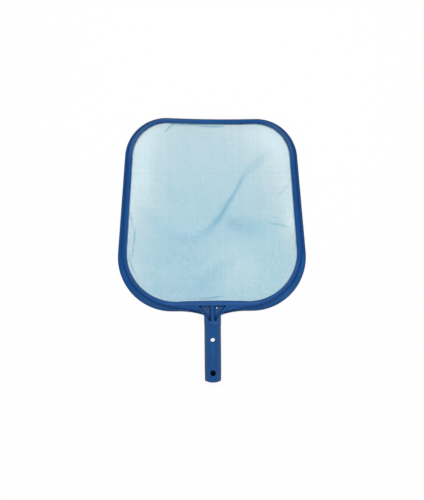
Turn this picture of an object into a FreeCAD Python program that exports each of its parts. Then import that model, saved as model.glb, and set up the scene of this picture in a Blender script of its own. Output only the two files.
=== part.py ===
"""Leaf skimmer head: a hollow-backed frame with a stub for a pole, a net, its clamp ring and a spring clip.

Millimetres. The head lies on its back: x across the head, y along the stub towards the head,
z up from the back face. The origin is the middle of the whole length and width, on the back face.
"""

import FreeCAD
import Part
import math
import os

from FreeCAD import Vector

# Head outline, on the outer edge of the flange
head_length = 332.3
head_width_low = 322.5
head_width_high = 297.1
corner_radius_low = 93.0
corner_radius_high = 70.7
top_edge_hollow = 1.4

# Outer edge of the groove round the ring, set in from the head's outer edge
groove_inset_low = 6.3
groove_inset_high = 3.9
groove_inset_bottom = 4.1
groove_inset_top = 1.2
groove_radius_low = 97.4
groove_radius_high = 70.3

# Foot of the ring, the inner edge of that groove
foot_inset_low = 8.7
foot_inset_high = 6.2
foot_inset_bottom = 6.5
foot_inset_top = 2.1
foot_radius_low = 95.0
foot_radius_high = 68.0

# Net opening, set in from the outer edge
band_low = 15.7
band_high = 13.6
band_bottom = 16.7
band_top = 9.5
opening_radius_low = 83.0
opening_radius_high = 58.8
opening_bottom_hollow = 1.4

# Heights of the frame above its back face
lip_height = 5.0
lip_round = 0.9
flange_height = 9.6
groove_floor = 6.8
groove_draft = 0.3
ring_height = 16.0
ring_inner_height = 14.6
ring_wall_height = 12.2
ring_shoulder_run = 3.3
ring_inner_round = 1.6
deck_height = 15.2

# Walls and hollows of the moulding
frame_wall = 2.2
inner_wall = 2.2
slot_width = 2.6
slot_height = 12.0
channel_height = 4.8
cross_rib = 1.6
cross_rib_setback = 0.8
ribs_per_side = 7
ribs_per_low_corner = 3
trim_depth = 1.0

# Net and the ring that clamps it from the back
net_seat_height = 7.0
net_thickness = 0.6
net_edge_clearance = 0.2
net_pitch = 18.4
net_strand = 1.6
least_gap_share = 0.12
net_margin = 2.0
clamp_width = 6.2
clamp_thickness = 2.8
clamp_lip_width = 2.2
clamp_setback = 1.0
clamp_clearance = 0.3

# Tabs of the clamp ring, which press into the slot under the frame's ring
tab_length = 6.0
tab_clearance = 0.15
tab_end_room = 0.4
tabs_per_side = 5
tabs_per_bottom_half = 2
tabs_per_top_half = 2

# Stub that slides into the pole
stub_length = 118.8
stub_radius = 14.0
stub_tip_radius = 13.65
stub_lead_in = 24.6
stub_end_round = 2.2
stub_end_bow = 34.0
stub_axis_height = 18.0
stub_buried = 2.0
pole_stop_level = 96.2
pole_stop_step = 0.3
bore_radius = 11.3
bore_chamfer = 0.6
bore_depth = 97.6
pin_hole_level = 15.6
pin_hole_radius = 4.6
bolt_hole_level = 70.5
bolt_hole_radius = 3.8

# Neck between the stub and the head
neck_sweep_start = 57.0
neck_sweep_radius = 138.0
neck_corner_radius = 3.5
neck_edge_run = 2.4
neck_overlap = 12.0
neck_groove_width = 2.4
deck_sweep_start = 65.0
deck_sweep_centre = 81.5
deck_sweep_crest = 7.6
deck_sweep_radius = 210.0
deck_corner_radius = 8.0
deck_half_width = 12.5
deck_draft = 0.6
gusset_foot_level = 128.4
gusset_bend_level = 104.6
gusset_crown_level = 96.8
gusset_half_foot = 29.0
gusset_half_crown = 7.5
centre_rib_width = 5.6
pocket_top_level = 128.4
pocket_bend_level = 111.6
pocket_tip_level = 102.6
pocket_half_top = 24.0
pocket_half_bend = 9.3
pocket_half_tip = 6.2
pocket_floor_height = 10.0
drain_radius = 1.0
drain_offset = 7.6
drain_level = 124.4

# Spring clip inside the stub
clip_width = 9.6
clip_thickness = 2.4
clip_bow_radius = 6.2
clip_bow_level = 58.6
clip_gap = 0.3
arm_bore_clearance = 0.25
arm_flat_level = 20.6
arm_flat_drop = 0.2
arm_tip_level = 6.6
arm_tip_drop = 1.1
button_clearance = 0.4
button_step = 0.3
button_step_height = 0.1
button_offset = 0.35
button_proud = 3.5
button_dome = 1.4
dome_steps = 2

overall_length = head_length + stub_length
stub_end_y = -overall_length / 2
head_bottom_y = stub_end_y + stub_length
head_top_y = overall_length / 2

# Far below and far above everything, for cuts that go right through
below = -5.0
above = 60.0


def level(from_stub_end):
    """The y of a place that is given by its distance from the open end of the stub."""
    return stub_end_y + from_stub_end


class Outline:
    """A closed outline of the head, symmetric about x = 0.

    Four round corners are joined by two sides, the common tangents of the corner circles, and by a bottom
    and a top edge, flat arcs that bend in by their hollow at the middle, or bow out where it is negative.
    Widths are taken at the levels of the corner centres.
    """

    def __init__(self, bottom, top, width_low, width_high, radius_low, radius_high, hollow_low, hollow_high):
        self.sizes = (bottom, top, width_low, width_high, radius_low, radius_high, hollow_low, hollow_high)
        self.straight = hollow_low == 0
        self.bottom = bottom
        self.radius_low = radius_low
        self.radius_high = radius_high
        self.centre_low = Vector(width_low / 2 - radius_low, bottom + radius_low, 0)
        self.centre_high = Vector(width_high / 2 - radius_high, top - radius_high, 0)
        self.bottom_middle = bottom + hollow_low
        self.top_middle = top - hollow_high
        span = self.centre_high - self.centre_low
        lean = math.acos((radius_low - radius_high) / span.Length)
        self.side_angle = math.atan2(span.y, span.x) - lean
        self.bottom_angle = -math.pi / 2
        if not self.straight:
            self.bottom_reach = (self.centre_low.x ** 2 + hollow_low ** 2) / (2 * hollow_low)
            self.bottom_angle -= math.asin(self.centre_low.x / self.bottom_reach)
        self.top_reach = (self.centre_high.x ** 2 + hollow_high ** 2) / (2 * hollow_high)
        self.top_angle = math.pi / 2 + math.asin(self.centre_high.x / self.top_reach)

    def inset(self, amount):
        """The parallel outline this far inside, or outside for a negative amount."""
        bottom, top, width_low, width_high, radius_low, radius_high, hollow_low, hollow_high = self.sizes
        return Outline(bottom + amount, top - amount, width_low - 2 * amount, width_high - 2 * amount,
                       radius_low - amount, radius_high - amount, hollow_low, hollow_high)

    def on_low_corner(self, angle):
        """The point on the right bottom corner, by the angle of its outward direction."""
        return self.centre_low + Vector(math.cos(angle), math.sin(angle), 0) * self.radius_low

    def on_high_corner(self, angle):
        """The point on the right top corner, by the angle of its outward direction."""
        return self.centre_high + Vector(math.cos(angle), math.sin(angle), 0) * self.radius_high

    def on_bottom(self, share):
        """The point at this share of the right half of the bottom edge, and its outward angle."""
        if self.straight:
            return Vector(self.centre_low.x * share, self.bottom, 0), -math.pi / 2
        angle = -math.pi / 2 + share * (self.bottom_angle + math.pi / 2)
        reach = self.bottom_reach - self.radius_low
        centre = Vector(0, self.bottom_middle - reach, 0)
        return centre - Vector(math.cos(angle), math.sin(angle), 0) * reach, angle

    def on_top(self, share):
        """The point at this share of the right half of the top edge, and its outward angle."""
        angle = math.pi / 2 + share * (self.top_angle - math.pi / 2)
        reach = self.top_reach - self.radius_high
        centre = Vector(0, self.top_middle + reach, 0)
        return centre - Vector(math.cos(angle), math.sin(angle), 0) * reach, angle

    def wire(self, height):
        """The outline as one closed wire at this height."""
        low_start = self.on_low_corner(self.bottom_angle)
        low_middle = self.on_low_corner((self.side_angle + self.bottom_angle) / 2)
        low_end = self.on_low_corner(self.side_angle)
        high_start = self.on_high_corner(self.side_angle)
        high_middle = self.on_high_corner((self.side_angle + self.top_angle) / 2)
        high_end = self.on_high_corner(self.top_angle)
        top_middle = Vector(0, self.top_middle, 0)

        def left(point):
            return Vector(-point.x, point.y, 0)

        bottom_edge = Part.makeLine(left(low_start), low_start)
        if not self.straight:
            bottom_middle = Vector(0, self.bottom_middle, 0)
            bottom_edge = Part.Arc(left(low_start), bottom_middle, low_start).toShape()
        edges = [
            bottom_edge,
            Part.Arc(low_start, low_middle, low_end).toShape(),
            Part.makeLine(low_end, high_start),
            Part.Arc(high_start, high_middle, high_end).toShape(),
            Part.Arc(high_end, top_middle, left(high_end)).toShape(),
            Part.Arc(left(high_end), left(high_middle), left(high_start)).toShape(),
            Part.makeLine(left(high_start), left(low_end)),
            Part.Arc(left(low_end), left(low_middle), left(low_start)).toShape(),
        ]
        wire = Part.Wire(edges)
        wire.translate(Vector(0, 0, height))
        return wire

    def stations(self, side_count, low_corner_count, high_corner_count, bottom_count, top_count):
        """Evenly spread places round the outline, each a point and the angle of its outward direction."""
        places = []
        low_end = self.on_low_corner(self.side_angle)
        high_start = self.on_high_corner(self.side_angle)
        for step in range(side_count):
            share = (step + 0.5) / side_count
            places.append((low_end + (high_start - low_end) * share, self.side_angle))
        for step in range(low_corner_count):
            share = (step + 0.5) / low_corner_count
            angle = self.bottom_angle + share * (self.side_angle - self.bottom_angle)
            places.append((self.on_low_corner(angle), angle))
        for step in range(high_corner_count):
            share = (step + 0.5) / high_corner_count
            angle = self.side_angle + share * (self.top_angle - self.side_angle)
            places.append((self.on_high_corner(angle), angle))
        places += [self.on_bottom((step + 0.5) / bottom_count) for step in range(bottom_count)]
        places += [self.on_top((step + 0.5) / top_count) for step in range(top_count)]
        mirrored = [(Vector(-point.x, point.y, 0), math.pi - angle) for point, angle in places]
        return places + mirrored


def outline_inside(bottom, top, low, high, radius_low, radius_high, hollow_low):
    """An outline set in from the head's outer edge by its own amount on each side."""
    return Outline(head_bottom_y + bottom, head_top_y - top,
                   head_width_low - 2 * low, head_width_high - 2 * high,
                   radius_low, radius_high, hollow_low, top_edge_hollow)


outer_edge = outline_inside(0.0, 0.0, 0.0, 0.0, corner_radius_low, corner_radius_high, 0)
groove_edge = outline_inside(groove_inset_bottom, groove_inset_top, groove_inset_low, groove_inset_high,
                             groove_radius_low, groove_radius_high, 0)
ring_foot = outline_inside(foot_inset_bottom, foot_inset_top, foot_inset_low, foot_inset_high,
                           foot_radius_low, foot_radius_high, 0)
opening = outline_inside(band_bottom, band_top, band_low, band_high,
                         opening_radius_low, opening_radius_high, opening_bottom_hollow)


def prism(outline, low, high):
    """The inside of an outline, as a block between two heights."""
    return Part.Face(outline.wire(low)).extrude(Vector(0, 0, high - low))


def slope(low_outline, low, high_outline, high):
    """A block between two heights whose sides run straight from one outline to the other."""
    return Part.makeLoft([low_outline.wire(low), high_outline.wire(high)], True, True)


def band(stations):
    """A closed band round the head: its section's corners are the given outlines and heights."""
    return Part.makeLoft([outline.wire(height) for outline, height in stations], True, True, True)


def block(x_low, x_high, y_low, y_high, z_low, z_high):
    """A plain block between these limits."""
    return Part.makeBox(x_high - x_low, y_high - y_low, z_high - z_low, Vector(x_low, y_low, z_low))


def upright(radius, x, y, z_low, z_high):
    """A round bar standing along z."""
    return Part.makeCylinder(radius, z_high - z_low, Vector(x, y, z_low))


def plate(points, z_low, z_high):
    """A block whose plan is the polygon through these x, y points."""
    corners = [Vector(x, y, z_low) for x, y in points]
    return Part.Face(Part.makePolygon(corners + corners[:1])).extrude(Vector(0, 0, z_high - z_low))


def rim():
    """The head's lip and flange, down to the floor of the groove and on under the ring."""
    hidden = opening.inset(-inner_wall)
    return band([
        (outer_edge, -trim_depth),
        (outer_edge, lip_height - lip_round),
        (outer_edge.inset(lip_round), lip_height),
        (groove_edge, flange_height),
        (groove_edge.inset(groove_draft), groove_floor),
        (hidden, groove_floor),
        (hidden, -trim_depth),
    ])


def ring():
    """The ring round the opening: outer wall, rounded shoulder, crown and inner wall."""
    section = [(ring_foot, -trim_depth)]
    for degrees in (0, 30, 60, 90):
        turn = math.radians(degrees)
        run = groove_draft + ring_shoulder_run * (1 - math.cos(turn))
        height = ring_wall_height + (ring_height - ring_wall_height) * math.sin(turn)
        section.append((ring_foot.inset(run), height))
    for degrees in (90, 45, 0):
        turn = math.radians(degrees)
        run = ring_inner_round * (1 - math.cos(turn))
        height = ring_inner_height - ring_inner_round * (1 - math.sin(turn))
        section.append((opening.inset(run - ring_inner_round), height))
    section.append((opening, -trim_depth))
    return band(section)


def sweep_wire(wide_centre, radius, start_x, corner, side, inset, height):
    """A neck's outline as a closed wire at this height, its top edge buried in the head.

    On each side a wide arc starts at start_x and a small arc turns down from it into the stub's side.
    """
    wide = radius + inset
    small = corner + inset
    across = wide_centre.x - side - corner
    small_centre = Vector(side + corner, wide_centre.y + math.sqrt((radius - corner) ** 2 - across ** 2), 0)
    start = Vector(start_x, wide_centre.y + math.sqrt(wide ** 2 - (wide_centre.x - start_x) ** 2), 0)
    toward = (small_centre - wide_centre).normalize()
    join = wide_centre + toward * wide
    middle = wide_centre + ((start + join) / 2 - wide_centre).normalize() * wide
    bend = small_centre + (toward + Vector(-1, 0, 0)).normalize() * small
    foot = Vector(side - inset, small_centre.y, 0)
    top = Vector(start_x, head_bottom_y + neck_overlap, 0)

    def left(point):
        return Vector(-point.x, point.y, 0)

    edges = [
        Part.makeLine(left(top), left(start)),
        Part.Arc(left(start), left(middle), left(join)).toShape(),
        Part.Arc(left(join), left(bend), left(foot)).toShape(),
        Part.makeLine(left(foot), foot),
        Part.Arc(foot, bend, join).toShape(),
        Part.Arc(join, middle, start).toShape(),
        Part.makeLine(start, top),
        Part.makeLine(top, left(top)),
    ]
    wire = Part.Wire(edges)
    wire.translate(Vector(0, 0, height))
    return wire


def flange_wire(inset, height):
    """The outline of the neck's flange, which carries the head's outer edge on to the stub."""
    centre = Vector(neck_sweep_start, head_bottom_y - neck_sweep_radius, 0)
    side = stub_radius + pole_stop_step
    return sweep_wire(centre, neck_sweep_radius, neck_sweep_start, neck_corner_radius, side, inset, height)


def deck_wire(inset, height):
    """The outline of the neck's deck, which carries the foot of the ring on to the stub."""
    centre = Vector(deck_sweep_centre, head_bottom_y + deck_sweep_crest - deck_sweep_radius, 0)
    return sweep_wire(centre, deck_sweep_radius, deck_sweep_start, deck_corner_radius, deck_half_width,
                      inset, height)


def neck_flange(inset, bottom, top):
    """The neck's flange: upright edges up to the lip, then edges that lean in to its top."""
    lip = lip_height - inset
    edge = Part.Face(flange_wire(inset, bottom)).extrude(Vector(0, 0, lip - bottom))
    lean = Part.makeLoft([flange_wire(inset, lip), flange_wire(inset + neck_edge_run, top)], True, True)
    return edge.fuse(lean)


def neck_deck(inset, bottom, top):
    """The neck's deck, a little narrower at its top."""
    return Part.makeLoft([deck_wire(inset, bottom), deck_wire(inset + deck_draft, top)], True, True)


def pocket_plan(side):
    """The plan corners of one pocket, three-sided with a blunt tip; side is 1 on the right, -1 on the left."""
    inner = centre_rib_width / 2
    top = level(pocket_top_level)
    tip = level(pocket_tip_level)
    corners = [(inner, top), (pocket_half_top, top), (pocket_half_bend, level(pocket_bend_level)),
               (pocket_half_tip, tip), (inner, tip)]
    return [(side * x, y) for x, y in corners]


def gusset_plan(beyond):
    """The gusset's plan corners: straight at its crown, then widening to its foot, and a little beyond it."""
    foot_y = level(gusset_foot_level) + beyond
    right = [(gusset_half_crown, level(gusset_crown_level)), (gusset_half_crown, level(gusset_bend_level)),
             (gusset_half_foot, foot_y)]
    return right + [(-x, y) for x, y in reversed(right)]


def gusset():
    """The wedge that falls from the stub's crown to the deck, before its pockets are cut."""
    wedge = plate(gusset_plan(0.0), pocket_floor_height, stub_axis_height + stub_radius + pole_stop_step)
    return wedge.cut(above_gusset())


def above_gusset():
    """Everything above the gusset's sloping top."""
    crown = Vector(0, level(gusset_crown_level), stub_axis_height + stub_radius + pole_stop_step)
    foot = Vector(0, level(gusset_foot_level), deck_height)
    reach = stub_radius + neck_sweep_start
    corners = [crown, foot, Vector(0, foot.y, above), Vector(0, crown.y, above)]
    side = Part.Face(Part.makePolygon(corners + corners[:1]))
    side.translate(Vector(-reach, 0, 0))
    return side.extrude(Vector(2 * reach, 0, 0))


def stub_solid():
    """The stub without its bore: open end, bowed in plan, slight lead-in, and a step where the pole stops."""
    end = stub_end_y
    root = head_bottom_y + stub_buried
    axis = stub_axis_height
    tip = stub_tip_radius
    flank = stub_end_round * (1 - math.sqrt(0.5))
    start = Vector(0, end, axis)
    face_edge = Vector(0, end, axis + tip - stub_end_round)
    round_middle = Vector(0, end + flank, axis + tip - flank)
    round_end = Vector(0, end + stub_end_round, axis + tip)
    lead_end = Vector(0, end + stub_lead_in, axis + stub_radius)
    stop_edge = Vector(0, level(pole_stop_level), axis + stub_radius)
    step_edge = stop_edge + Vector(0, 0, pole_stop_step)
    root_edge = Vector(0, root, step_edge.z)
    root_centre = Vector(0, root, axis)
    profile = Part.Wire([
        Part.makeLine(start, face_edge),
        Part.Arc(face_edge, round_middle, round_end).toShape(),
        Part.makeLine(round_end, lead_end),
        Part.makeLine(lead_end, stop_edge),
        Part.makeLine(stop_edge, step_edge),
        Part.makeLine(step_edge, root_edge),
        Part.makeLine(root_edge, root_centre),
        Part.makeLine(root_centre, start),
    ])
    turned = Part.Face(profile).revolve(Vector(0, end, axis), Vector(0, 1, 0), 360)
    bowed = upright(stub_end_bow, 0, end + stub_end_bow, below, above)
    beyond = block(-stub_radius, stub_radius, end, end + stub_end_bow, below, above).cut(bowed)
    return turned.cut(beyond)


def bore():
    """The stub's blind bore, with a small chamfer at its mouth."""
    centre = Vector(0, stub_end_y, stub_axis_height)
    along = Vector(0, 1, 0)
    hole = Part.makeCylinder(bore_radius, bore_depth, centre, along)
    mouth = Part.makeCone(bore_radius + bore_chamfer, bore_radius, bore_chamfer, centre, along)
    return hole.fuse(mouth)


def rib_slabs():
    """Slabs square to the head's edge, where the cross ribs of the hollow back stay."""
    reach = 2 * band_bottom
    slabs = []
    for point, angle in outer_edge.stations(ribs_per_side, ribs_per_low_corner, 0, ribs_per_low_corner, 0):
        slab = block(-reach, reach, -cross_rib / 2, cross_rib / 2, cross_rib_setback, above)
        slab.rotate(Vector(0, 0, 0), Vector(0, 0, 1), math.degrees(angle))
        slab.translate(point)
        slabs.append(slab)
    middle = block(-cross_rib, cross_rib, level(gusset_crown_level), head_bottom_y + band_bottom,
                   cross_rib_setback, above)
    return slabs + [middle]


def tabs():
    """The clamp ring's upright tabs, in the middle of the slot under the frame's ring."""
    thick = slot_width - 2 * tab_clearance
    low = net_seat_height - net_thickness - clamp_thickness
    line = opening.inset(-inner_wall - slot_width / 2)
    shapes = []
    for point, angle in line.stations(tabs_per_side, 1, 1, tabs_per_bottom_half, tabs_per_top_half):
        tab = block(-thick / 2, thick / 2, -tab_length / 2, tab_length / 2, low, slot_height - tab_end_room)
        tab.rotate(Vector(0, 0, 0), Vector(0, 0, 1), math.degrees(angle))
        tab.translate(point)
        shapes.append(tab)
    return shapes


def hollows():
    """The hollow back: under the flange, under ring and deck, and the slot for the clamp ring's tabs."""
    wall = frame_wall
    inner = prism(opening.inset(-inner_wall), below, above)
    under_lip = prism(outer_edge.inset(wall), below, lip_height - wall)
    under_flange = slope(outer_edge.inset(wall), lip_height - wall, ring_foot.inset(wall), channel_height)
    under_ring = prism(ring_foot.inset(groove_draft + wall), below, slot_height)
    under_neck = neck_flange(wall, below, channel_height)
    under_deck = neck_deck(wall, below, deck_height - wall)
    floor = plate(gusset_plan(wall), pocket_floor_height - wall, above)
    channel = under_lip.fuse([under_flange, under_ring, under_neck, under_deck])
    channel = channel.cut([inner, floor, stub_solid()] + rib_slabs())
    slot = prism(opening.inset(-inner_wall - slot_width), net_seat_height, slot_height).cut(inner)
    return channel.fuse(slot)


def frame():
    """The one moulding: ring, neck and stub, hollow behind, with all its holes."""
    groove = Part.Face(deck_wire(-neck_groove_width, groove_floor)).extrude(Vector(0, 0, above))
    edge = rim().fuse(neck_flange(0.0, -trim_depth, flange_height)).cut(groove)
    deck = neck_deck(0.0, lip_height, deck_height)
    stub = stub_solid().cut(above_gusset())
    reach = overall_length
    behind = block(-reach, reach, -reach, reach, below, 0.0)
    body = edge.fuse([ring(), deck, gusset(), stub]).cut(behind)
    seat = prism(opening.inset(-clamp_width - clamp_clearance), below, net_seat_height)
    pockets = [plate(pocket_plan(side), pocket_floor_height, above) for side in (1, -1)]
    pin_hole = upright(pin_hole_radius, 0, level(pin_hole_level), below, above)
    bolt_hole = upright(bolt_hole_radius, 0, level(bolt_hole_level), below, above)
    drain = upright(drain_radius, drain_offset, level(drain_level), below, above)
    return body.cut([hollows(), seat, bore(), pin_hole, bolt_hole, drain] + pockets)


def net():
    """The net as one thin holed face, gripped round its edge; gaps at the edge are cut off by the margin."""
    low = net_seat_height - net_thickness
    gap = net_pitch - net_strand
    inside = Part.Face(opening.inset(net_margin).wire(low))
    middle_y = (head_bottom_y + band_bottom + head_top_y - band_top) / 2
    columns = int(head_width_low / net_pitch)
    rows = int(head_length / net_pitch)
    squares = []
    for column in range(columns):
        for row in range(rows):
            x = (column - (columns - 1) / 2) * net_pitch - gap / 2
            y = middle_y + (row - (rows - 1) / 2) * net_pitch - gap / 2
            squares.append(Part.makePlane(gap, gap, Vector(x, y, low)))
    gaps = [piece for piece in inside.common(squares).Faces if piece.Area > least_gap_share * gap ** 2]
    sheet = Part.Face(opening.inset(-inner_wall + net_edge_clearance).wire(low))
    return sheet.cut(gaps).extrude(Vector(0, 0, net_thickness)), len(gaps)


def clamp_ring():
    """The ring that holds the net against the frame's inner wall, with its tabs."""
    top = net_seat_height - net_thickness
    shelf = top - clamp_thickness
    wide = opening.inset(-clamp_width)
    lip = opening.inset(-clamp_lip_width)
    ring = band([(opening, clamp_setback), (opening, top), (wide, top), (wide, shelf),
                 (lip, shelf), (lip, clamp_setback)])
    return ring.fuse(tabs())


def in_stub(from_stub_end, height):
    """A point of the clip's side view: a level along the stub and a height above its axis."""
    return Vector(0, level(from_stub_end), stub_axis_height + height)


def clip_bow():
    """The round end of the clip that joins its two arms."""
    centre = in_stub(clip_bow_level, 0)
    outer = Part.makeCylinder(clip_bow_radius, clip_width, centre, Vector(1, 0, 0))
    inner = Part.makeCylinder(clip_bow_radius - clip_thickness, clip_width, centre, Vector(1, 0, 0))
    half = block(0, clip_width, centre.y, centre.y + 2 * clip_bow_radius, 0, above)
    bow = outer.cut(inner).common(half)
    bow.translate(Vector(-clip_width / 2, 0, 0))
    return bow


def clip_arm():
    """The front arm with its button; the rear arm is its mirror image."""
    root = clip_bow_level - clip_gap
    crest = math.sqrt((bore_radius - arm_bore_clearance) ** 2 - (clip_width / 2) ** 2)
    crest_level = (arm_flat_level + arm_tip_level) / 2 + arm_flat_drop
    flat = crest - arm_flat_drop
    tip = crest - arm_tip_drop
    bow = clip_bow_radius
    thick = clip_thickness
    side = Part.Wire([
        Part.makeLine(in_stub(root, bow - thick), in_stub(root, bow)),
        Part.makeLine(in_stub(root, bow), in_stub(arm_flat_level, flat)),
        Part.Arc(in_stub(arm_flat_level, flat), in_stub(crest_level, crest), in_stub(arm_tip_level, tip)).toShape(),
        Part.makeLine(in_stub(arm_tip_level, tip), in_stub(arm_tip_level, tip - thick)),
        Part.Arc(in_stub(arm_tip_level, tip - thick), in_stub(crest_level, crest - thick),
                 in_stub(arm_flat_level, flat - thick)).toShape(),
        Part.makeLine(in_stub(arm_flat_level, flat - thick), in_stub(root, bow - thick)),
    ])
    arm = Part.Face(side).extrude(Vector(clip_width, 0, 0))
    arm.translate(Vector(-clip_width / 2, 0, 0))
    return arm.fuse(button(tip - thick / 2))


def button(foot):
    """A round button with a domed top, standing on the arm at the pin hole; its free end is stepped in."""
    root = pin_hole_radius - button_clearance
    radius = root - button_step
    step = stub_radius + button_step_height
    top = stub_radius + button_proud
    sphere = (radius ** 2 + button_dome ** 2) / (2 * button_dome)
    rim_turn = math.asin(radius / sphere)
    corners = [Vector(0, 0, foot), Vector(0, root, foot), Vector(0, root, step), Vector(0, radius, step)]
    for index in range(dome_steps, -1, -1):
        turn = rim_turn * index / dome_steps
        corners.append(Vector(0, sphere * math.sin(turn), top - sphere * (1 - math.cos(turn))))
    profile = Part.Face(Part.makePolygon(corners + corners[:1]))
    shape = profile.revolve(Vector(0, 0, 0), Vector(0, 0, 1), 360)
    shape.translate(in_stub(pin_hole_level + button_offset, 0))
    return shape


def save(shape, name):
    """Write one piece and print its volume."""
    shape.exportStep("parts/" + name + ".step")
    print(name, "solids", len(shape.Solids), "valid", shape.isValid(), "volume", round(shape.Volume, 1))


os.makedirs("parts", exist_ok=True)

net_face, gap_count = net()
front_arm = clip_arm()
rear_arm = front_arm.mirror(Vector(0, 0, stub_axis_height), Vector(0, 0, 1))

save(frame(), "frame")
save(net_face, "net")
save(clamp_ring(), "net_ring")
save(clip_bow(), "clip_bow")
save(front_arm, "clip_arm_front")
save(rear_arm, "clip_arm_rear")
print("net gaps", gap_count)
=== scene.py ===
"""Looks of the leaf skimmer head: satin blue moulding, fine woven net, clamp ring and black spring clip."""

import math

import bmesh
import bpy
import numpy as np
from mathutils import Matrix, Vector


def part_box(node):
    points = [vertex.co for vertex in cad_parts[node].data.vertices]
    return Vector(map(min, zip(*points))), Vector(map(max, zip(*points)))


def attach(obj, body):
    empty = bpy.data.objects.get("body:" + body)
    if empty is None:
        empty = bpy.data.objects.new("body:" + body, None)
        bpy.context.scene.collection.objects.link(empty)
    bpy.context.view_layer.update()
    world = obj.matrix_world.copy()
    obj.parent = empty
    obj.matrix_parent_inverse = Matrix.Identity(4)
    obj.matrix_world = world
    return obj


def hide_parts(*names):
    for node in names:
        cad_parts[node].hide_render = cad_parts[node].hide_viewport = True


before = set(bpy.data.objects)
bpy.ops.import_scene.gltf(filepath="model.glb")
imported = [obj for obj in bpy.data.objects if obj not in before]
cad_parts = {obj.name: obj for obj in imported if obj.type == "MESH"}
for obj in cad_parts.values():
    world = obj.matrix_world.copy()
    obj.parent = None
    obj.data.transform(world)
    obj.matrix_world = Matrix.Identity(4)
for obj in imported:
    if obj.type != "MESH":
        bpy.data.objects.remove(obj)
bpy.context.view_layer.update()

MM = 0.001
rng = np.random.default_rng(11)

# Camera: where it stands, how far it leans, turns and rolls in radians, and its focal length in pixels
picture_height = 500.0
camera_place = (-16.8 * MM, -76.95 * MM, 1500 * MM)
camera_lean = 0.0500
camera_turn = -0.0113
camera_roll = -0.0074
focal_pixels = 873.4
sensor_height = 24.0

# Square soft lamps: place and side in metres, and power in watts
top_softbox = ((0.04, 0.22, 2.1), 1.2, 36.5)
far_softbox = ((0.1, 1.5, 1.3), 1.0, 2.5)

# Floor: half size in metres, tone as it lights and as it shows, and share of plain white where it shows
floor_half = 6.0
floor_tone = (0.55, 0.95)
floor_glow = 0.90

# Surround: strength as it lights and as it shows
surround_strength = (0.25, 1.0)

# How far the head's far corners stand out of line, and over which run and half width this grows
askew_rise = 1.35 * MM
askew_start = 115.0 * MM
askew_run = 75.0 * MM
askew_half = 75.0 * MM

# Moulded edges: how far and from which angle they are rounded, and which points and faces are joined before
frame_rounding = 0.45 * MM
ring_rounding = 0.3 * MM
rounded_angle = math.radians(32)
merge_distance = 0.002 * MM
flat_angle = math.radians(0.4)

# Regions of the moulding, each from where it begins to where it is in full: along Y, sideways and up
stub_region = (-114.0 * MM, -124.0 * MM)
neck_region = (-87.0 * MM, -92.0 * MM)
low_flange_region = (-58.0 * MM, -80.0 * MM)
low_corner_centre = -55.0 * MM
low_corner_reach = 45.0 * MM
far_end_region = (145.0 * MM, 175.0 * MM)
far_lip_region = (218.5 * MM, 223.5 * MM)
pocket_region = (42.0 * MM, 34.0 * MM)
pocket_middle = (33.0 * MM, 29.0 * MM)
far_side_region = (85.0 * MM, 115.0 * MM)
pocket_low_down = (14.0 * MM, 12.5 * MM)
crest_region = (11.5 * MM, 15.0 * MM)

# Openness of a place, measured over this reach, from grooves and pockets to the open
groove_reach = 5.0 * MM
groove_openness = (0.40, 0.85)
corner_shade_openness = (0.46, 0.80)

# Factors on the colour as painted light and shade (brighter in occluded grooves, painted shade in the
# pockets' corners, on steep walls and on the stub), the painted shade on the pockets' floors, and what is
# added to the roughness
groove_tone = 1.18
corner_shade_tone = 0.45
wall_tone = 0.82
stub_tone = 0.96
pocket_floor_darker = 0.20
stub_rougher = 0.16
groove_rougher = 0.55

# Share of the painted highlight colour, by region
highlight_colour = (0.12, 0.19, 0.27)
far_lip_highlight = 0.30
far_corner_highlight = 0.22
low_corner_highlight = 0.12
low_flange_highlight = 0.09

# Plastics: deep and plain colour, the paler colour of sharp edges (painted edge highlight, partly edge
# wear), roughness, gloss, and the share of painted reflection on the stub's flanks
frame_plastic = ((0.0050, 0.061, 0.222), (0.0058, 0.069, 0.250), (0.026, 0.116, 0.335), 0.44, 0.10, 0.42)
ring_plastic = ((0.0048, 0.058, 0.212), (0.0056, 0.066, 0.240), (0.040, 0.120, 0.320), 0.46, 0.10, 0.42)
clip_plastic = ((0.0008, 0.0010, 0.0026), (0.0012, 0.0014, 0.0036), (0.003, 0.003, 0.006), 0.5, 0.015, 0.0)
grain_depth = 0.08 * MM

# Thread: places and colours from pale to deep, the tone at the last one, and the translucent share
thread_colours = [
    (0.03, (0.56, 0.80, 0.88)),
    (0.12, (0.48, 0.74, 0.82)),
    (0.30, (0.333, 0.60, 0.70)),
    (0.41, (0.263, 0.56, 0.673)),
    (0.48, (0.20, 0.54, 0.67)),
    (0.55, (0.155, 0.515, 0.65)),
    (0.66, (0.10, 0.485, 0.64)),
    (0.72, (0.073, 0.455, 0.62)),
    (1.0, (0.045, 0.42, 0.61)),
]
full_tone = 1.3
thread_translucency = 0.35

# Net
net_grip = 2.0 * MM
net_level = 6.7 * MM
thread_pitch = 1.45 * MM
thread_width = 0.56 * MM
thread_rise = 0.13 * MM
thread_wander = 0.35 * MM
net_sag = 2.6 * MM
net_edge_run = 16.0 * MM
fold_edge_run = 2.5 * MM
opening_radius_low = 83.0 * MM
opening_radius_high = 58.8 * MM
opening_half_high = 134.95 * MM
opening_hollow = 1.4 * MM

# Waves of the slack net: the distances over which a sine turns by one radian, and their shares
wave_across = 31.0 * MM
wave_along = 43.0 * MM
wave_aslant = 24.0 * MM
wave_share = 0.25
aslant_share = 0.6

# Wander of the threads: such distances for a sine and for the one inside it, and how far that shifts it
lengthwise_wave = (21.0 * MM, 47.0 * MM)
lengthwise_shift = 3.0
crosswise_wave = (26.0 * MM, 39.0 * MM)
crosswise_shift = 2.5

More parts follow.
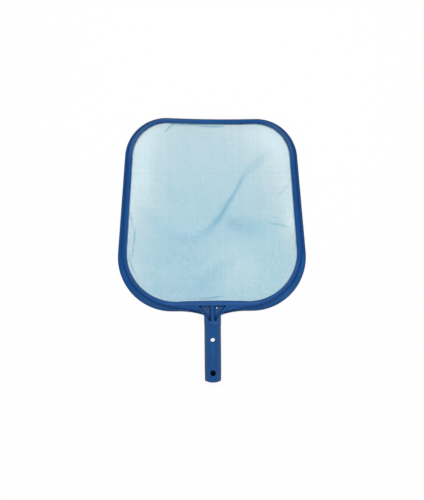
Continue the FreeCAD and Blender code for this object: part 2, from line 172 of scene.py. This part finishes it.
# How much the threads differ in tone and in width, as the spread of a random draw
lengthwise_tone_spread = 0.07
crosswise_tone_spread = 0.05
thread_width_spread = 0.10


def smooth(value):
    """Smooth step: 0 below 0, 1 above 1, with level ends."""
    t = np.clip(value, 0.0, 1.0)
    return t * t * (3.0 - 2.0 * t)


def curve(points, count):
    """A smooth line through given points: Catmull-Rom pieces sampled evenly in their parameter."""
    knots = np.asarray(points, float)
    before = 2 * knots[0] - knots[1]
    after = 2 * knots[-1] - knots[-2]
    knots = np.vstack([before, knots, after])
    place = np.linspace(0, len(knots) - 3 - 1e-9, count)
    index = place.astype(int)
    t = (place - index)[:, None]
    a, b, c, d = (knots[index + shift] for shift in range(4))
    bend = 2 * a - 5 * b + 4 * c - d
    turn = 3 * b - a - 3 * c + d
    return 0.5 * (2 * b + (c - a) * t + bend * t ** 2 + turn * t ** 3)


def placed(name, data):
    """A new object with this data, in the scene."""
    piece = bpy.data.objects.new(name, data)
    bpy.context.scene.collection.objects.link(piece)
    return piece


def mesh_object(name, points, faces, attributes=None):
    """A mesh object at the origin from whole arrays of points and quads."""
    mesh = bpy.data.meshes.new(name)
    mesh.from_pydata(points.reshape(-1, 3).tolist(), [], faces.tolist())
    for label, values in (attributes or {}).items():
        layer = mesh.attributes.new(label, "FLOAT", "POINT")
        layer.data.foreach_set("value", np.asarray(values, np.float32).ravel())
    mesh.update()
    return placed(name, mesh)


class Opening:
    """The net opening: two leaning sides, four round corners, and a bottom and a top that bend in."""

    def __init__(self):
        low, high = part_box("net")
        self.bottom = low.y + net_grip
        self.top = high.y - net_grip
        self.half_low = high.x - net_grip
        self.low = np.array([self.half_low - opening_radius_low, self.bottom + opening_radius_low])
        self.high = np.array([opening_half_high - opening_radius_high, self.top - opening_radius_high])
        span = self.high - self.low
        lean = math.acos((opening_radius_low - opening_radius_high) / math.hypot(*span))
        self.side = math.atan2(span[1], span[0]) - lean

    def depth(self, x, y):
        """Distance inside the opening's edge, negative outside: to a line, or to a corner's circle."""
        x = np.abs(x)
        low_x, low_y = x - self.low[0], y - self.low[1]
        high_x, high_y = x - self.high[0], y - self.high[1]
        side = opening_radius_low - (low_x * math.cos(self.side) + low_y * math.sin(self.side))
        top = self.top - opening_hollow * np.clip(1 - (x / self.high[0]) ** 2, 0, 1) - y
        bottom = y - self.bottom - opening_hollow * np.clip(1 - (x / self.low[0]) ** 2, 0, 1)
        depth = np.minimum(np.minimum(side, top), bottom)
        in_low = (low_x > 0) & (np.arctan2(low_y, low_x) < self.side)
        depth = np.where(in_low, opening_radius_low - np.hypot(low_x, low_y), depth)
        in_high = (high_x > 0) & (np.arctan2(high_y, high_x) > self.side)
        return np.where(in_high, opening_radius_high - np.hypot(high_x, high_y), depth)


opening = Opening()

# Folds of the net, in millimetres: the line's points, half width, height, and how much deeper the tone gets,
# as painted shade along the fold
folds = [
    ([(-8, 28), (8, 46), (20, 64), (31, 82), (42.5, 101), (52, 119), (68, 140)], 2.8, 1.6, 0.46),
    ([(-13, 22), (5, 42), (18, 60), (28, 78), (45, 108)], 7.0, 2.0, 0.17),
    ([(41, 98), (58, 128), (73, 143), (90, 158), (116, 182)], 7.0, 1.0, 0.18),
    ([(-134, 84), (-112, 60), (-92, 42), (-66, 24), (-40, 14)], 10.0, 1.0, 0.11),
    ([(-84, 30), (-56, 18), (-32, 17), (-13, 27), (2, 40), (12, 56)], 8.0, 1.6, 0.13),
    ([(-62, 14), (-42, 13), (-24, 18), (-8, 30), (5, 44), (18, 62), (29, 80)], 5.5, 1.0, 0.12),
    ([(0, 62), (28, 50), (44, 41), (60, 34), (82, 28), (116, 20)], 14.0, 0.6, 0.16),
    ([(24, 50), (40, 40), (58, 33), (78, 27)], 8.0, 0.6, 0.12),
    ([(40, 52), (70, 46), (100, 43), (128, 42)], 5.0, 0.6, 0.10),
    ([(48, -10), (22, -26), (2, -44), (-16, -64), (-36, -84), (-50, -100)], 12.0, 0.8, 0.15),
    ([(60, 14), (36, 0), (10, -18), (-16, -32), (-44, -44)], 10.0, -0.8, -0.08),
    ([(94, 44), (110, 41.5), (122, 39.5), (139, 33)], 1.5, 0.9, 0.40),
    ([(108, 84), (124, 101), (138, 113)], 2.0, 0.6, 0.20),
    ([(-131.5, 38), (-132.6, 27), (-132.8, 16), (-134.8, 6)], 0.8, 1.2, 1.00),
    ([(-134.0, 13), (-134.6, 1), (-136.0, -8), (-136.4, -18)], 0.8, 1.0, 0.85),
    ([(-143, 76), (-138, 54), (-133, 30)], 1.2, 0.7, 0.40),
    ([(-60, 218), (-73, 208), (-82, 198)], 1.1, 1.0, 0.70),
    ([(-78, 213.2), (-40, 213.2), (-10, 212.2)], 1.3, 0.8, 0.45),
    ([(-28, 212.6), (1, 210.8), (28, 212.0)], 1.3, 1.0, 0.80),
    ([(-28, -86.2), (-8, -85.0), (4, -83.4), (24, -78.4)], 1.2, 1.0, 0.90),
    ([(-142, -5), (-138.4, -26), (-128, -50)], 1.1, 0.7, 0.55),
]

# A fold's ends fade at this rate along its line, and its threads widen with its tone, more in a sharp one
fold_fade = 3.2
sharp_fold = 4
sharp_tightness = 0.5
soft_tightness = 0.42

# Broad tone of the net, in millimetres: it pales towards the top, pales by the rim as painted light against
# the frame's shadow, and changes round each centre
tone_level = 0.81
tone_fall = 0.0019
deepest_tone = 1.4
rim_paler = 0.35
rim_reach = 1.5
tones = [
    ((-140, 120), (45, 110), -0.60),
    ((-140, -40), (25, 35), -0.30),
    ((-115, 205), (40, 40), -0.20),
    ((125, 205), (65, 50), -0.50),
    ((150, 110), (55, 70), -0.40),
    ((140, 45), (14, 20), -0.30),
    ((52, -34), (45, 45), -0.28),
    ((-50, -75), (50, 30), 0.14),
    ((-68, -8), (45, 24), 0.10),
    ((-24, 6), (26, 16), 0.06),
    ((-142, 15), (16, 55), -0.15),
    ((139, 25), (16, 60), -0.23),
    ((124, 110), (36, 70), -0.09),
    ((124, -10), (36, 50), -0.05),
    ((-72, 106), (8, 26), 0.10),
]


def fold_profile(x, y, points, width):
    """Closeness to a fold's line: a bell across the line, fading to nothing at both its ends."""
    line = curve(np.asarray(points) * MM, 6 * len(points))
    best = np.full(x.shape, np.inf)
    along = np.zeros(x.shape)
    for index in range(len(line) - 1):
        start, run = line[index], line[index + 1] - line[index]
        t = np.clip(((x - start[0]) * run[0] + (y - start[1]) * run[1]) / (run @ run), 0, 1)
        gap = np.hypot(x - start[0] - t * run[0], y - start[1] - t * run[1])
        nearer = gap < best
        best = np.where(nearer, gap, best)
        along = np.where(nearer, (index + t) / (len(line) - 1), along)
    fade = smooth(np.minimum(along, 1 - along) * fold_fade)
    return fade * np.exp(-(best / (width * MM)) ** 2)


def waves(x, y):
    """Unevenness of the slack cloth: one sine across times one along, plus a smaller sine of their sum."""
    crossed = np.sin(x / wave_across + 0.8) * np.sin(y / wave_along - 0.4)
    return crossed + aslant_share * np.sin((x + y) / wave_aslant + 1.7)


def net_shape(x, y):
    """Height, tone and closeness of the net: a sag that grows from the grip, gentle waves, and the folds."""
    depth = opening.depth(x, y)
    free = smooth(depth / net_edge_run)
    near = smooth(depth / fold_edge_run)
    height = net_level - net_sag * free * (1 - wave_share * waves(x, y))
    tone = tone_level - tone_fall * np.maximum(y, 0) / MM
    # Painted light: the net pales by the rim, against the frame's shadow.
    tone -= rim_paler * np.exp(-np.maximum(depth, 0) / (rim_reach * MM))
    tight = np.zeros(x.shape)
    for centre, reach, amount in tones:
        away = ((x / MM - centre[0]) / reach[0]) ** 2 + ((y / MM - centre[1]) / reach[1]) ** 2
        tone += amount * np.exp(-away)
    for points, width, rise, deeper in folds:
        bell = fold_profile(x, y, points, width)
        height += rise * MM * bell * near
        # Painted shade along a fold, and painted light where deeper is below zero.
        tone += deeper * bell
        tight += (sharp_tightness if width < sharp_fold else soft_tightness) * deeper * bell
    return height, np.clip(tone, 0.0, deepest_tone), tight


def askew(points):
    """The head's far edge stands askew: towards it the right side drops back and the left one rises."""
    points = np.array(points, float)
    share = smooth((points[..., 1] - askew_start) / askew_run)
    points[..., 1] -= askew_rise * share * np.clip(points[..., 0] / askew_half, -1, 1)
    return points


def strips(centres, half_across, faces_kept):
    """Flat threads along the second index: each point of a grid becomes two, and neighbours form quads."""
    points = np.stack([centres - half_across, centres + half_across], axis=2)
    columns, rows = centres.shape[:2]
    number = np.arange(columns * rows * 2).reshape(columns, rows, 2)
    corners = [number[:, :-1, 0], number[:, :-1, 1], number[:, 1:, 1], number[:, 1:, 0]]
    return points.reshape(-1, 3), np.stack(corners, axis=-1)[faces_kept]


def crossings():
    """Where threads cross: a square grid, shifted by sines of sines that grow from nothing at the grip."""
    half_x = opening.half_low + net_grip
    columns = 2 * int(half_x / thread_pitch) + 1
    rows = int((opening.top - opening.bottom + 2 * net_grip) / thread_pitch) + 1
    x = (np.arange(columns) - (columns - 1) / 2) * thread_pitch
    y = opening.bottom - net_grip + np.arange(rows) * thread_pitch
    grid_x, grid_y = np.meshgrid(x, y, indexing="ij")
    inside = smooth(opening.depth(grid_x, grid_y) / net_edge_run)
    turn_x = grid_y / lengthwise_wave[0] + lengthwise_shift * np.sin(grid_x / lengthwise_wave[1])
    turn_y = grid_x / crosswise_wave[0] + crosswise_shift * np.sin(grid_y / crosswise_wave[1])
    wander = thread_wander * inside
    return grid_x + wander * np.sin(turn_x), grid_y + wander * np.sin(turn_y)


def woven_net():
    """Plain weave: lengthwise and crosswise threads at one pitch, each passing over and under in turn."""
    place_x, place_y = crossings()
    columns, rows = place_x.shape
    held = opening.depth(place_x, place_y) > -net_grip
    height, tone, tight = net_shape(place_x, place_y)
    lengthwise_tone = tone + lengthwise_tone_spread * rng.standard_normal((columns, 1))
    crosswise_tone = tone + crosswise_tone_spread * rng.standard_normal((1, rows))
    over = np.where((np.add.outer(np.arange(columns), np.arange(rows)) % 2) == 0, 1.0, -1.0)
    uneven = thread_width_spread * rng.standard_normal((columns, rows))
    spread = 0.5 * thread_width * (1 + tight + uneven)
    lengthwise = np.stack([place_x, place_y, height + over * thread_rise], axis=-1)
    crosswise = np.stack([place_x, place_y, height - over * thread_rise], axis=-1)
    zero = np.zeros_like(spread)
    kept_long = held[:, :-1] & held[:, 1:]
    kept_cross = (held[:-1, :] & held[1:, :]).T
    long_points, long_quads = strips(lengthwise, np.stack([spread, zero, zero], -1), kept_long)
    turned = np.stack([zero, -spread, zero], -1).transpose(1, 0, 2)
    cross_points, cross_quads = strips(crosswise.transpose(1, 0, 2), turned, kept_cross)
    points = np.vstack([long_points, cross_points])
    quads = np.vstack([long_quads, cross_quads + len(long_points)])
    both_tones = np.concatenate([lengthwise_tone.ravel(), crosswise_tone.T.ravel()])
    used, renumbered = np.unique(quads, return_inverse=True)
    return askew(points[used]), renumbered.reshape(-1, 4), np.repeat(both_tones, 2)[used]


class Nodes:
    """The nodes of one tree: each way to add one takes plain values or outputs for its inputs."""

    def __init__(self, tree):
        self.tree = tree

    def feed(self, value, socket):
        """Link an output to a socket, or set the socket to a plain value."""
        if isinstance(value, bpy.types.NodeSocket):
            self.tree.links.new(value, socket)
        else:
            socket.default_value = value

    def add(self, kind, **settings):
        """A node with its settings, where a name that starts with in_ is that of an input."""
        node = self.tree.nodes.new(kind)
        for key, value in settings.items():
            if key.startswith("in_"):
                self.feed(value, node.inputs[key[3:].replace("_", " ")])
            else:
                setattr(node, key, value)
        return node

    def worked(self, operation, *values, **settings):
        """The result of a sum, product or like operation on the values."""
        node = self.add("ShaderNodeMath", operation=operation, **settings)
        for value, socket in zip(values, node.inputs):
            self.feed(value, socket)
        return node.outputs["Value"]

    def ranged(self, value, region, low, high):
        """From low to high while the value passes through a region, and held beyond its ends."""
        node = self.add("ShaderNodeMapRange", in_Value=value, in_From_Min=region[0], in_From_Max=region[1])
        self.feed(low, node.inputs["To Min"])
        self.feed(high, node.inputs["To Max"])
        return node.outputs["Result"]

    def mixed(self, kind, share, first, second):
        """Between two numbers or two colours, by a share."""
        node = self.add("ShaderNodeMix", data_type=kind, in_Factor=share, in_A=first, in_B=second)
        return node.outputs["Result"]

    def noise(self, place, scale, detail, **settings):
        """Cloudy noise at a place."""
        node = self.add("ShaderNodeTexNoise", in_Vector=place, in_Scale=scale, in_Detail=detail, **settings)
        return node.outputs["Fac"]

    def ramp(self, share, stops):
        """A colour by a share, from stops of place and colour."""
        node = self.add("ShaderNodeValToRGB", in_Fac=share)
        band = node.color_ramp
        band.elements[0].position, band.elements[0].color = stops[0][0], (*stops[0][1], 1)
        band.elements[1].position, band.elements[1].color = stops[-1][0], (*stops[-1][1], 1)
        for place, colour in stops[1:-1]:
            band.elements.new(place).color = (*colour, 1)
        return node.outputs["Color"]

    def blend(self, made, share, first, second):
        """Give a material the surface that lies between two shaders, by a share."""
        node = self.add("ShaderNodeMixShader", in_Fac=share)
        self.feed(first, node.inputs[1])
        self.feed(second, node.inputs[2])
        self.feed(node.outputs["Shader"], made.node_tree.nodes["Material Output"].inputs["Surface"])


def material(name):
    """A new material, its shader node and its nodes."""
    made = bpy.data.materials.new(name)
    made.use_nodes = True
    return made, made.node_tree.nodes["Principled BSDF"], Nodes(made.node_tree)


class Places:
    """What a moulding's plastic goes by: where a place is, how level, how open, and its region."""

    def __init__(self, nodes):
        coordinates = nodes.add("ShaderNodeTexCoord")
        self.place = coordinates.outputs["Object"]
        upright = nodes.add("ShaderNodeSeparateXYZ", in_Vector=coordinates.outputs["Normal"])
        self.facing = nodes.worked("ABSOLUTE", upright.outputs["Z"])
        across = nodes.add("ShaderNodeSeparateXYZ", in_Vector=self.place)
        self.sideways = nodes.worked("ABSOLUTE", across.outputs["X"])
        self.along = across.outputs["Y"]
        self.height = across.outputs["Z"]
        corner = nodes.add("ShaderNodeAmbientOcclusion", samples=8, in_Distance=groove_reach)
        self.openness = corner.outputs["AO"]
        self.on_stub = nodes.ranged(self.along, stub_region, 0.0, 1.0)
        self.at_neck = nodes.ranged(self.along, neck_region, 0.0, 1.0)


def cloudy(nodes, at, deep, plain, edge_highlight_and_wear):
    """Colour that drifts from deep over plain to a little paler, and paler along sharp edges as painted edge
    highlight and edge wear.
    """
    paler = tuple(1.12 * part for part in plain)
    cloud = nodes.noise(at.place, 22.0, 4.0, in_Roughness=0.55)
    colour = nodes.ramp(cloud, [(0.30, deep), (0.55, plain), (0.80, paler)])
    edge = nodes.add("ShaderNodeNewGeometry").outputs["Pointiness"]
    # Sharp edges take the paler colour: a painted edge highlight, partly edge wear.
    return nodes.mixed("RGBA", nodes.ranged(edge, (0.52, 0.60), 0.0, 0.42), colour, (*edge_highlight_and_wear, 1))


def highlight_share(nodes, at, stub_sheen):
    """Share of the painted highlight colour: painted reflection on the stub's flanks, painted highlights on
    the far lip, the crests of the corners and the flange by the neck.
    """
    # Painted reflection: the stub's flanks get paler where they turn sideways.
    side = nodes.ranged(at.facing, (0.96, 0.40), 0.08 * stub_sheen, stub_sheen)
    flank_sheen = nodes.worked("MULTIPLY", side, at.on_stub)
    # Painted highlight along the far lip, added to the flanks' painted reflection.
    lips = nodes.worked("ADD", flank_sheen, nodes.ranged(at.along, far_lip_region, 0.0, far_lip_highlight))
    # Painted highlights on the low corners' crests, the flange by the neck and the far corners' crests.
    off_low_corner = nodes.worked("ABSOLUTE", nodes.worked("ADD", at.along, -low_corner_centre))
    low_corner = nodes.ranged(off_low_corner, (0.0, low_corner_reach), low_corner_highlight, 0.0)
    low_flange = nodes.ranged(at.along, low_flange_region, 0.0, low_flange_highlight)
    crest = nodes.ranged(at.height, crest_region, 0.0, 1.0)
    low_crest = nodes.mixed("FLOAT", crest, low_flange, low_corner)
    far_side = nodes.ranged(at.sideways, far_side_region, 0.0, far_corner_highlight)
    far_crest = nodes.worked("MULTIPLY", nodes.ranged(at.along, far_end_region, 0.0, 1.0), crest)
    return nodes.worked("ADD", lips, nodes.worked("MULTIPLY_ADD", far_side, far_crest, low_crest))


def shaded(nodes, at):
    """Painted light and shade on the colour: brighter in occluded grooves, painted shade on steep walls, the
    stub and the pocket floors, and deep painted shade in the pocket corners.
    """
    by_pocket = nodes.ranged(at.sideways, pocket_region, 0.0, 1.0)
    corner_shade_mask = nodes.worked("MULTIPLY", at.at_neck, by_pocket)
    # Painted light and shade from the occlusion: the colour brighter in grooves, and deep painted shade in
    # the pockets' corners.
    groove_lift = nodes.ranged(at.openness, groove_openness, groove_tone, 1.0)
    corner_shade = nodes.ranged(at.openness, corner_shade_openness, corner_shade_tone, 1.0)
    occlusion_tone = nodes.mixed("FLOAT", corner_shade_mask, groove_lift, corner_shade)
    # Painted shade on steep walls off the stub, and a little over the whole stub.
    least = nodes.ranged(at.on_stub, (0.0, 1.0), wall_tone, 1.0)
    steep = nodes.ranged(at.facing, (0.35, 0.88), least, 1.0)
    stub = nodes.ranged(at.on_stub, (0.0, 1.0), 1.0, stub_tone)
    shade = nodes.worked("MULTIPLY", nodes.worked("MULTIPLY", steep, stub), occlusion_tone)
    # Painted shade on the pockets' floors.
    middle = nodes.ranged(at.sideways, pocket_middle, 0.0, pocket_floor_darker)
    low_down = nodes.ranged(at.height, pocket_low_down, 0.0, 1.0)
    in_pocket = nodes.worked("MULTIPLY", nodes.worked("MULTIPLY", middle, low_down), at.at_neck)
    return nodes.worked("MULTIPLY", shade, nodes.worked("SUBTRACT", 1.0, in_pocket))


def roughened(nodes, at, roughness):
    """Roughness: scuffed unevenly, rougher on the stub and in grooves, and 1 at most."""
    scuff = nodes.noise(at.place, 160.0, 3.0)
    dull = nodes.ranged(scuff, (0.0, 1.0), roughness - 0.06, roughness + 0.08)
    duller_stub = nodes.worked("MULTIPLY_ADD", at.on_stub, stub_rougher, dull)
    unpolished = nodes.ranged(at.openness, groove_openness, groove_rougher, 0.0)
    return nodes.worked("ADD", duller_stub, unpolished, use_clamp=True)


def moulded_plastic(name, deep, plain, edge_highlight_and_wear, roughness, gloss, stub_sheen):
    """Satin moulded polypropylene: cloudy, with painted highlights and reflection mixed in, painted light
    and shade by place, scuffed and grained.
    """
    made, shader, nodes = material(name)
    at = Places(nodes)
    colour = cloudy(nodes, at, deep, plain, edge_highlight_and_wear)
    # Painted highlights and reflection: the highlight colour mixed in by its share.
    highlit = nodes.mixed("RGBA", highlight_share(nodes, at, stub_sheen), colour, (*highlight_colour, 1))
    # Painted light and shade scale the colour.
    toned = nodes.add("ShaderNodeVectorMath", operation="SCALE", in_Scale=shaded(nodes, at))
    nodes.feed(highlit, toned.inputs[0])
    nodes.feed(toned.outputs["Vector"], shader.inputs["Base Color"])
    nodes.feed(roughened(nodes, at, roughness), shader.inputs["Roughness"])
    grain = nodes.noise(at.place, 2600.0, 2.0)
    bump = nodes.add("ShaderNodeBump", in_Strength=0.12, in_Distance=grain_depth, in_Height=grain)
    nodes.feed(bump.outputs["Normal"], shader.inputs["Normal"])
    shader.inputs["Specular IOR Level"].default_value = gloss
    return made


def net_thread(name):
    """Pale blue monofilament: the tone attribute, which carries painted shade and light, runs from pale to
    deep; light also comes through.
    """
    made, shader, nodes = material(name)
    tone = nodes.add("ShaderNodeAttribute", attribute_name="tone").outputs["Fac"]
    place = nodes.add("ShaderNodeTexCoord").outputs["Object"]
    uneven = nodes.worked("MULTIPLY_ADD", nodes.noise(place, 900.0, 2.0), 0.08, tone)
    colour = nodes.ramp(nodes.worked("MULTIPLY", uneven, 1 / full_tone), thread_colours)
    nodes.feed(colour, shader.inputs["Base Color"])
    shader.inputs["Roughness"].default_value = 0.45
    shader.inputs["Specular IOR Level"].default_value = 0.12
    through = nodes.add("ShaderNodeBsdfTranslucent", in_Color=colour)
    nodes.blend(made, thread_translucency, shader.outputs["BSDF"], through.outputs["BSDF"])
    return made


def finished_copy(node, name, rounding):
    """A merged copy of a moulded CAD piece: loose triangles joined, flat areas cleaned, edges rounded."""
    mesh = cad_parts[node].data.copy()
    mesh.materials.clear()
    cleaned = bmesh.new()
    cleaned.from_mesh(mesh)
    bmesh.ops.remove_doubles(cleaned, verts=cleaned.verts, dist=merge_distance)
    bmesh.ops.dissolve_limit(cleaned, angle_limit=flat_angle, verts=cleaned.verts, edges=cleaned.edges)
    cleaned.to_mesh(mesh)
    cleaned.free()
    places = np.empty(3 * len(mesh.vertices), np.float32)
    mesh.vertices.foreach_get("co", places)
    mesh.vertices.foreach_set("co", askew(places.reshape(-1, 3)).astype(np.float32).ravel())
    mesh.update()
    mesh.polygons.foreach_set("use_smooth", np.ones(len(mesh.polygons), bool))
    piece = placed(name, mesh)
    round_off = piece.modifiers.new("edges", "BEVEL")
    round_off.width = rounding
    round_off.segments = 2
    round_off.limit_method = "ANGLE"
    round_off.angle_limit = rounded_angle
    round_off.harden_normals = True
    return piece


def set_camera():
    """The camera above the head, leaning a little back from the stub's side and rolled with the picture."""
    data = bpy.data.cameras.new("camera")
    data.sensor_fit = "VERTICAL"
    data.sensor_height = sensor_height
    data.lens = focal_pixels / picture_height * sensor_height
    data.clip_end = 20.0
    camera = placed("camera", data)
    turn = Matrix.Rotation(camera_lean, 4, "X") @ Matrix.Rotation(camera_turn, 4, "Y")
    camera.matrix_world = Matrix.Translation(camera_place) @ turn @ Matrix.Rotation(camera_roll, 4, "Z")
    bpy.context.scene.camera = camera


def lamp(name, place, side, power):
    """A square soft lamp at a place, turned towards the object's middle."""
    data = bpy.data.lights.new(name, "AREA")
    data.shape = "SQUARE"
    data.size = side
    data.energy = power
    light = placed(name, data)
    aim = Vector(place).to_track_quat("Z", "Y").to_matrix().to_4x4()
    light.matrix_world = Matrix.Translation(place) @ aim


def seen_white(nodes):
    """1 for the rays that show the background: from the camera, off gloss and through clear matter."""
    path = nodes.add("ShaderNodeLightPath").outputs
    both = nodes.worked("MAXIMUM", path["Is Camera Ray"], path["Is Glossy Ray"])
    return nodes.worked("MAXIMUM", both, path["Is Transmission Ray"])


def floor_white(name):
    """Matte floor that shows white but keeps a soft shadow."""
    made, shader, nodes = material(name)
    seen = seen_white(nodes)
    nodes.feed(nodes.ranged(seen, (0.0, 1.0), *floor_tone), shader.inputs["Base Color"])
    shader.inputs["Roughness"].default_value = 0.9
    shader.inputs["Specular IOR Level"].default_value = 0.1
    glow = nodes.add("ShaderNodeEmission", in_Strength=1.0)
    share = nodes.worked("MULTIPLY", seen, floor_glow)
    nodes.blend(made, share, shader.outputs["BSDF"], glow.outputs["Emission"])
    return made


def set_surround():
    """A white surround, dim where it lights the object."""
    world = bpy.data.worlds.new("surround")
    bpy.context.scene.world = world
    world.use_nodes = True
    nodes = Nodes(world.node_tree)
    sky = world.node_tree.nodes["Background"]
    nodes.feed(nodes.ranged(seen_white(nodes), (0.0, 1.0), *surround_strength), sky.inputs["Strength"])
    sky.inputs["Color"].default_value = (1, 1, 1, 1)


def set_stage():
    """The floor, the surround and the lamps."""
    bpy.context.scene.view_settings.view_transform = "Standard"
    corners = floor_half * np.array([(-1, -1, 0), (1, -1, 0), (1, 1, 0), (-1, 1, 0)], float)
    floor = mesh_object("floor", corners, np.array([[0, 1, 2, 3]]))
    floor.data.materials.append(floor_white("floor_white"))
    set_surround()
    lamp("top_softbox", *top_softbox)
    lamp("far_softbox", *far_softbox)


set_camera()
set_stage()

blue = moulded_plastic("frame_blue", *frame_plastic)
ring_blue = moulded_plastic("ring_blue", *ring_plastic)
black = moulded_plastic("clip_black", *clip_plastic)
thread = net_thread("net_mesh")

moulding = finished_copy("frame", "frame_moulding", frame_rounding)
moulding.data.materials.append(blue)
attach(moulding, "head")
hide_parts("frame")

clamp = finished_copy("net_ring", "clamp_ring", ring_rounding)
clamp.data.materials.append(ring_blue)
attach(clamp, "head")
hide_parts("net_ring")

net_points, net_quads, net_tone = woven_net()
net = mesh_object("woven_net", net_points, net_quads, {"tone": net_tone})
net.data.materials.append(thread)
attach(net, "head")
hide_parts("net")

for node in ("clip_bow", "clip_arm_front", "clip_arm_rear"):
    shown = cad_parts[node]
    shown.data.materials.clear()
    shown.data.materials.append(black)
